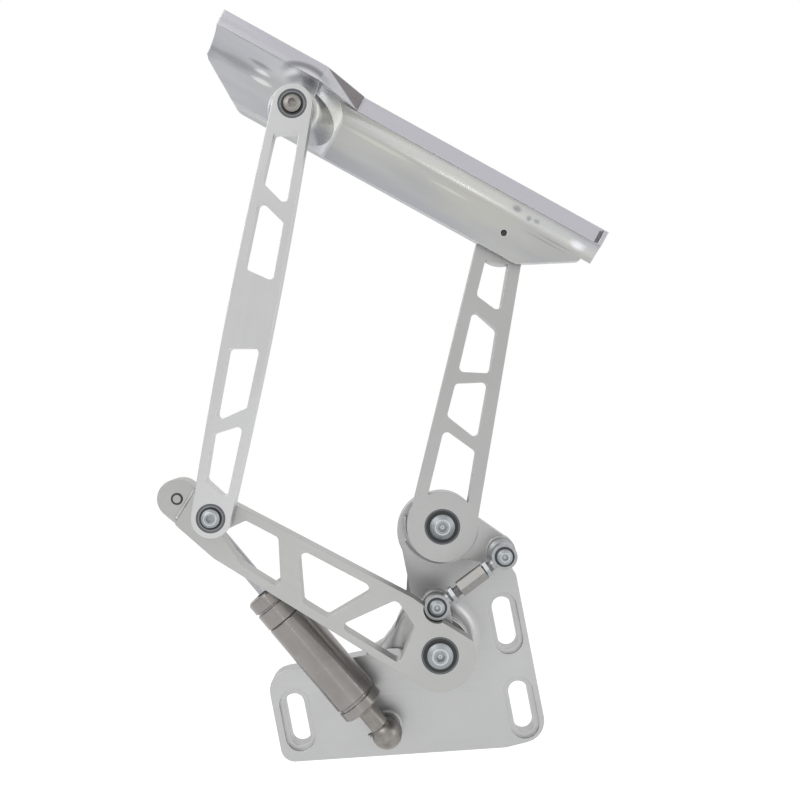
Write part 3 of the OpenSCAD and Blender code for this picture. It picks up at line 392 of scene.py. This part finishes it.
def skin(name, grid, material, body, smooth=True):
    """A closed surface from a grid of points that wraps both ways: each cell is one face."""
    rows, columns = grid.shape[:2]
    row, column = np.meshgrid(np.arange(rows), np.arange(columns), indexing="ij")
    next_row, next_column = (row + 1) % rows, (column + 1) % columns
    quads = np.stack([row * columns + column, next_row * columns + column,
                      next_row * columns + next_column, row * columns + next_column],
                     -1).reshape(-1, 4)
    points = grid.reshape(-1, 3)
    corners = points[quads]
    volume = np.einsum("ij,ij->i", corners[:, 0], np.cross(corners[:, 1], corners[:, 2])).sum()
    volume += np.einsum("ij,ij->i", corners[:, 0], np.cross(corners[:, 2], corners[:, 3])).sum()
    if volume < 0:
        quads = quads[:, ::-1]
    mesh = bpy.data.meshes.new(name)
    mesh.from_pydata(points.tolist(), [], quads.tolist())
    if smooth:
        mesh.shade_smooth()
    mesh.materials.append(material)
    piece = bpy.data.objects.new(name, mesh)
    bpy.context.scene.collection.objects.link(piece)
    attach(piece, body)
    return piece


def turned_ring(centre, profile, sides=72):
    """A closed profile of (radius, depth) points, carried once round the line through centre."""
    angle = np.linspace(0, 2 * np.pi, sides, endpoint=False)[:, None]
    radius, depth = profile[None, :, 0], profile[None, :, 1]
    return np.stack([centre[0] + radius * np.cos(angle), -depth + 0 * angle,
                     centre[1] + radius * np.sin(angle)], -1)


def round_profile(radius, depth, thick, points=14, flat=1.0):
    """A circle of the given thickness about (radius, depth), squashed in depth by flat."""
    a = np.linspace(0, 2 * np.pi, points, endpoint=False)
    return np.stack([radius + thick / 2 * np.cos(a), depth + flat * thick / 2 * np.sin(a)], -1)


def capped(sections):
    """A solid bar from its sections: each end closes on a pinhole at the section's middle."""
    middle = sections.mean(1, keepdims=True)
    tiny = middle + 0.01 * (sections - middle)
    return np.concatenate([tiny[:1], sections, tiny[-1:]])


rear_at, main_at, elbow_at = (-0.0282, 0.0994), (-0.0447, 0.0279), (-0.161184, 0.135388)
nose_pin = (nose_at[0], nose_at[2])
bearings = {
    "rear_pivot": (rear_at, 0.0317, 0.0091, "rear_arm"),
    "main_pivot": (main_at, 0.0575, 0.0091, "lower_arm"),
    "elbow": (elbow_at, 0.0678, 0.0060, "front_arm"),
    "nose": (nose_pin, 0.0678, 0.0060, "front_arm"),
}
for pivot, (centre, face, lip_r, body) in bearings.items():
    skin(f"{pivot}_seal_lip",
         turned_ring(centre, round_profile(lip_r, face - 0.00022, 0.0006, flat=0.7)),
         seal_finish.material, body)

# In the two small bearings the seal is held by a wide rolled band of steel, darker along both
# of its edges, which leaves only a narrow black ring round the screw.
band_section = np.array([(6.6, 0.2), (6.65, 0.02), (6.9, -0.04), (7.35, -0.04), (7.6, 0.02),
                         (7.62, 0.2)]) / 1000
band_finish = metal("band_finish", (0.26, 0.265, 0.275), 0.36, 0.0002, 0.2, 900.0)
for pivot in ("elbow", "nose"):
    centre, face, _, body = bearings[pivot]
    section = np.stack([band_section[:, 0], face - 0.00012 - band_section[:, 1]], -1)
    skin(f"{pivot}_seal_band", turned_ring(centre, section), band_finish.material, body)

# Each bearing seat is broken with a small chamfer, which a bright line shows, and the race sits in
# it. A thin dark ring just in front of the seat's edge is painted shade for the gap round the
# race.
groove_finish = Finish("groove_finish")
groove_finish.set(Base_Color=(0.05, 0.052, 0.055, 1), Roughness=0.6)
for pivot, (centre, face, lip_r, body) in bearings.items():
    seat_r = 0.011 if lip_r > 0.008 else 0.0085
    skin(f"{pivot}_seat_groove",
         turned_ring(centre, round_profile(seat_r, face - 0.00006, 0.00042, 8, 0.5), 96),
         groove_finish.material, body)

# Button-head screws hold the pivots. They are zinc plated and bright, except the one in the nose
# pivot, which has gone dull and brownish.
zinc = metal("zinc_finish", (0.35, 0.373, 0.387), 0.5, 0.0004, 0.14, 350.0)
zinc.give_to("rear_pivot_screw", "main_pivot_screw", "elbow_screw", "tail_screw", "lever_screw",
             "ear_screw", "ear_nut")
aged = metal("aged_finish", (0.3, 0.287, 0.268), 0.46, 0.0004, 0.25, 500.0)
aged.give_to("nose_screw")
dark_steel = metal("dark_steel_finish", (0.17, 0.17, 0.175), 0.38)
dark_steel.give_to("lever_ball", "link_upper_ball", "strut_pin_clip", "strut_piston",
                   "strut_ball_stud", "strut_socket_clip")
metal("pin_finish", (0.42, 0.41, 0.4), 0.36).give_to("strut_pin")

# Each socket was punched, which raised a low rim round it, and the drill that went before left a
# dimple in its floor. Rim and dimple are painted brighter than the head, as painted highlights.
# The head's dome has a radius of 0.75 of its width.
lever_pin, ear_pin = np.array([-0.041016, 0.055152]), np.array([0.004828, 0.077373])
rim_finish = metal("rim_finish", (0.56, 0.59, 0.61), 0.42, 0.0003, 0.15, 600.0)
aged_highlight_metal = metal("aged_rim_finish", (0.36, 0.345, 0.325), 0.42, 0.0003, 0.2, 600.0)
for head, centre, top, head_d, socket_r, body in (
        ("rear_pivot", rear_at, 0.03573, 0.0156, 0.0029, "base"),
        ("main_pivot", main_at, 0.06153, 0.0156, 0.0029, "base"),
        ("elbow", elbow_at, 0.0707, 0.011, 0.00231, "lower_arm"),
        ("nose", nose_pin, 0.07054, 0.0104, 0.00231, "rail"),
        ("lever", lever_pin, 0.05499, 0.0094, 0.00173, "lower_arm"),
        ("ear", ear_pin, 0.05529, 0.0094, 0.00173, "rear_arm")):
    rim_r, dome_r = 1.42 * socket_r, 0.75 * head_d
    rim_depth = top - dome_r + math.sqrt(dome_r ** 2 - rim_r ** 2)
    floor_depth = top - 0.1625 * head_d
    highlight_metal, rim_slot = ((aged_highlight_metal, "aged_screw") if head == "nose"
                           else (rim_finish, "zinc_screw"))
    skin(f"{head}_socket_rim",
         turned_ring(centre, round_profile(rim_r, rim_depth, 0.66 * socket_r, 16, 0.3), 60),
         highlight_metal.material, body)
    skin(f"{head}_socket_dimple",
         turned_ring(centre, round_profile(0.31 * socket_r, floor_depth, 0.6 * socket_r, 12, 0.35),
                     36),
         highlight_metal.material, body)

# The adjustable link is a hexagonal sleeve with a plated rod end screwed into each end and a
# thin nut locking each thread.
plated = metal("plated_finish", (0.4, 0.412, 0.42), 0.42, 0.0004, 0.2, 300.0)
plated.give_to("link_lower_eye", "link_upper_eye", "link_lower_nut", "link_upper_nut",
               "ear_spacer", "strut_eye_nut")
metal("sleeve_finish", (0.29, 0.284, 0.272), 0.42, 0.0004, 0.2).give_to("link_sleeve")


# Their shanks are threaded. The crest of the thread runs round the shank as a helix, so the
# outline of each length between nut, eye and sleeve is notched.
def about_line(start, depth, along, reach, radius):
    """Points at a distance along a line that lies flat at a depth, and at a radius round it. The
    first index is the angle, the second runs along the section."""
    angle = np.linspace(0, 2 * np.pi, radius.shape[0], endpoint=False)[:, None]
    side = np.array([-along[1], along[0]])
    return np.stack([start[0] + along[0] * reach + side[0] * radius * np.cos(angle),
                     -depth + radius * np.sin(angle),
                     start[1] + along[1] * reach + side[1] * radius * np.cos(angle)], -1)


def thread(low, high, core, crest, pitch, sides=40):
    """Distance and radius of a thread: at each angle the radius rises from core to crest and back
    once a pitch, and the wave moves on by one pitch a turn. The inner wall is a plain cylinder."""
    steps = int(round((high - low) / pitch * 8)) + 1
    distance = np.linspace(low, high, steps)
    turn_share = np.linspace(0, 1, sides, endpoint=False)[:, None]
    wave = np.abs(((distance[None, :] / pitch + turn_share) % 1.0) * 2 - 1)
    radius = np.concatenate([core + (crest - core) * np.clip(1.15 * (1 - wave), 0, 1),
                             np.full((sides, steps), core - 0.0003)], 1)
    return np.tile(np.concatenate([distance, distance[::-1]]), (sides, 1)), radius


link_depth = 0.0488
link_way = (ear_pin - lever_pin) / np.linalg.norm(ear_pin - lever_pin)
for name, low, high in (("lower_eye_thread", 0.0094, 0.0111),
                        ("lower_shank_thread", 0.0134, 0.0177),
                        ("upper_shank_thread", 0.0359, 0.0370),
                        ("upper_eye_thread", 0.0393, 0.0416)):
    reach, radius = thread(low, high, 0.00294, 0.0033, 0.001)
    skin(name, about_line(lever_pin, link_depth, link_way, reach, radius), dark_steel.material,
         "link")

# A black plastic liner lies in the eye of each rod end. It shows as a ring between the eye and
# the head of its screw.
for name, centre in (("lower_eye_liner", lever_pin), ("upper_eye_liner", ear_pin)):
    skin(name, turned_ring(centre, round_profile(0.00545, 0.0521, 0.0013, 14, 0.36)),
         seal_finish.material, "link")

# The strut's body is anodised brownish grey with faint rings from turning, so the light draws out
# across them. Its rod is hard chromed, and its lower end is a dull steel socket on a ball.
anodised = Finish("anodised_finish")
softened = anodised.soft_edge(0.0005)
turning = anodised.noise(900.0, 2.0, (1, 0.06, 0.06), -60.8)
haze = anodised.noise(60.0, 4.0)
tone = anodised.blend(anodised.ranged(haze, 0.0, 1.0), (0.255, 0.239, 0.226),
                      (0.292, 0.276, 0.263))
# Its corners are painted lighter, partly for rubbing and partly as a painted highlight.
tone = anodised.blend(anodised.edge_share(softened), tone, (0.4, 0.385, 0.37))
anodised.wire(tone, "Base Color")
anodised.wire(anodised.ranged(turning, 0.27, 0.34), "Roughness")
axis = anodised.add("ShaderNodeVectorTransform", (0, (-0.4877, 0, 0.873)), vector_type="VECTOR",
                    convert_from="OBJECT", convert_to="WORLD").outputs[0]
anodised.wire(axis, "Tangent")
anodised.wire(anodised.bump(turning, 0.08, 0.0001, softened), "Normal")
anodised.set(Anisotropic=0.9, Metallic=0.85)
anodised.give_to("strut_tube", "strut_cap", "strut_foot")
socket_finish = metal("socket_finish", (0.28, 0.262, 0.243), 0.36, 0.0005, 0.3, 220.0)
socket_finish.give_to("strut_socket", "strut_eye")
metal("chrome_finish", (0.36, 0.36, 0.375), 0.16, 0.0003, 0.08).give_to("strut_rod")

# A rubber wiper stands round the rod where it leaves the strut's cap, and a dark spring ring
# keeps the strut's pin in the arm.
strut_ball, strut_pin = np.array([-0.0872, -0.0221]), np.array([-0.18297, 0.14938])
strut_way = (strut_pin - strut_ball) / np.linalg.norm(strut_pin - strut_ball)
wiper = round_profile(0.0056, 0.1181, 0.0014, 16, 0.8)
skin("strut_wiper", about_line(strut_ball, 0.02875, strut_way, np.tile(wiper[:, 1], (56, 1)),
                               np.tile(wiper[:, 0], (56, 1))),
     seal_finish.material, "strut_cylinder")
skin("strut_pin_ring", turned_ring(strut_pin, round_profile(0.003, 0.0502, 0.0013, 12, 0.6), 48),
     seal_finish.material, "lower_arm")

# The clip that locks the socket on its ball is a bent wire. Its end beside the ball takes the
# brighter finish of the socket rims, a painted glint.
clip_start, clip_way = np.array([-0.0925, -0.0207]), np.array([-0.975, -0.222])
for name, depth, reach, radius, metal_finish, slot in (
        ("strut_clip_leg", 0.0256, [0.0, 0.0045, 0.0062, 0.0068, 0.007],
         [0.0012, 0.0012, 0.0012, 0.0009, 0.0004], dark_steel, "dark_steel"),
        ("strut_clip_end", 0.0263, [0.0052, 0.0056, 0.0064, 0.0068],
         [0.0003, 0.0008, 0.0008, 0.0003], rim_finish, "glint_highlight")):
    wire = about_line(clip_start, depth, clip_way, np.tile(reach, (20, 1)),
                      np.tile(radius, (20, 1)))
    skin(name, capped(wire.transpose(1, 0, 2)), metal_finish.material, "strut_cylinder")


# The lobe that takes the strut's pin flares out into the lower arm's edge, and a hollow cove
# leads from its face up to the arm's. Both are drawn along the arm and across it, in mm.
def in_arm(along, across, deep):
    """A point in the lower arm's own frame, which runs from the main pivot at 137.3 degrees."""
    way = math.radians(137.3)
    along, across = np.asarray(along) / 1000, np.asarray(across) / 1000
    return np.stack([main_at[0] + along * math.cos(way) - across * math.sin(way),
                     -np.asarray(deep) / 1000 + 0 * along,
                     main_at[1] + along * math.sin(way) + across * math.cos(way)], -1)


shoulder = np.array([(192.4, 11.6), (190.6, 13.8), (188.2, 15.4), (184.0, 16.8), (178.0, 17.6),
                     (172.0, 17.2), (171.0, 6.0), (190.0, 6.0)])
inset = shoulder.mean(0) + 0.965 * (shoulder - shoulder.mean(0))
levels = [in_arm(outline[:, 0], outline[:, 1], deep) for outline, deep in (
    (inset, 34.1), (shoulder, 34.5), (shoulder, 49.6), (inset, 49.96))]
skin("lobe_shoulder", capped(np.stack(levels)), lower_alloy.material, "lower_arm",
     False)
cove = np.linspace(0, math.pi / 2, 12)
cove_u = np.append(175.8 + 3.2 * (1 - np.cos(cove)), [179.0, 175.8])
cove_deep = np.append(50.04 + 6.0 * (1 - np.sin(cove)), [49.7, 49.7])
low_v, high_v = -6.6 - 0.28 * (179.0 - cove_u), 15.0 + 0.1 * (179.0 - cove_u)
share = np.linspace(0, 1, 16)[:, None]
skin("lobe_cove", capped(in_arm(cove_u + 0 * share, low_v + (high_v - low_v) * share,
                                cove_deep + 0 * share)),
     lower_alloy.material, "lower_arm")

# On the side of the front slot a low bead runs round the boss under the rear arm, just clear of
# the arm's hub.
bead_at = np.radians(np.linspace(158, 258, 60))[:, None]
bead_round = round_profile(0.0231, 0.0172, 0.0027, 16)
skin("rear_boss_bead", capped(np.stack([rear_at[0] + bead_round[:, 0] * np.cos(bead_at),
                                        -bead_round[:, 1] + 0 * bead_at,
                                        rear_at[1] + bead_round[:, 0] * np.sin(bead_at)], -1)),
     plate_alloy.material, "base")

# The drilled hole in the rail's web and the short slot across the tail of its lip are seen dark:
# a dark disc in the hole and a dark block in the slot are painted shade.
skin("web_hole_floor",
     turned_ring((0.04377, 0.27145), round_profile(0.00092, 0.037, 0.0018, 10, 0.15), 40),
     seal_finish.material, "rail")


def in_rail(along, across, deep):
    """A point in the rail's own frame: metres along it and across it from the nose pivot."""
    way = math.radians(rail_turn)
    return (nose_at[0] + along * math.cos(way) - across * math.sin(way), -deep,
            nose_at[2] + along * math.sin(way) + across * math.cos(way))


# The dark block in the slot is painted shade.
slot_corners = ((0.1962, 0.0206), (0.1981, 0.0206), (0.1981, 0.0282), (0.1962, 0.0282))
skin("tail_slot_floor", capped(np.array([[in_rail(*corner, deep) for corner in slot_corners]
                                         for deep in (0.0436, 0.04485)])),
     dark_steel.material, "rail", False)

# On the side of the front slot the foot of the tall boss sweeps out to the edge of the plate and
# up into the neck. It is drawn in mm by its reach from the main pivot at each angle.
sweep_at = np.radians(np.arange(0, 360, 1.5))[:, None]
sweep_deg = np.degrees(sweep_at[:, 0])
edge_reach = np.interp(
    sweep_deg,
    [99, 100.4, 102.3, 106.8, 112.2, 120.3, 132.9, 151.8, 164.7, 175.2, 179.3, 181.3, 183, 184.8],
    [19.6, 58.5, 48, 41.1, 35.7, 30.6, 27.7, 27.4, 29.9, 34.5, 41.2, 45, 47, 19.6])[:, None]
foot_reach = np.interp(sweep_deg, [99, 101, 118, 135, 150, 165, 175, 180, 183, 184.8],
                       [19.6, 20, 22, 26.8, 27.3, 29.7, 33.5, 36, 37, 19.6])[:, None]
rise = np.linspace(0, math.pi / 2, 14)[None, :]
level = np.ones_like(sweep_at)
sweep_r = np.concatenate([edge_reach, edge_reach, 19.4 + (foot_reach - 19.4) * (1 - np.sin(rise)),
                          18.4 * level, 18.4 * level], 1)
sweep_deep = np.concatenate([level, 12.62 * level, 12.63 + 27.4 * (1 - np.cos(rise)) + 0 * level,
                             40.0 * level, level], 1)
skin("boss_sweep", np.stack([main_at[0] + sweep_r / 1000 * np.cos(sweep_at), -sweep_deep / 1000,
                             main_at[1] + sweep_r / 1000 * np.sin(sweep_at)], -1),
     plate_alloy.material, "base")

# A pale floor lies below the hinge. To the camera it is as white as the room.
floor_half, floor_height = 3.0, -0.12
floor_mesh = bpy.data.meshes.new("floor")
floor_mesh.from_pydata([(x * floor_half, y * floor_half, floor_height) for x, y in (
    (-1, -1), (1, -1), (1, 1), (-1, 1))], [], [(0, 1, 2, 3)])
floor = bpy.data.objects.new("floor", floor_mesh)
bpy.context.scene.collection.objects.link(floor)
floor_finish = Finish("floor_finish")
floor_finish.set(Base_Color=(0.9, 0.9, 0.9, 1), Roughness=0.8, Emission_Color=(1, 1, 1, 1))
floor_ray = floor_finish.add("ShaderNodeLightPath").outputs
floor_seen = floor_finish.number("MAXIMUM", floor_ray["Is Camera Ray"], floor_ray["Is Glossy Ray"])
floor_seen = floor_finish.number("MAXIMUM", floor_seen, floor_ray["Is Transmission Ray"])
floor_finish.wire(floor_finish.ranged(floor_seen, 0.0, 0.45, 0.0, 1.0), "Emission Strength")
floor_mesh.materials.append(floor_finish.material)
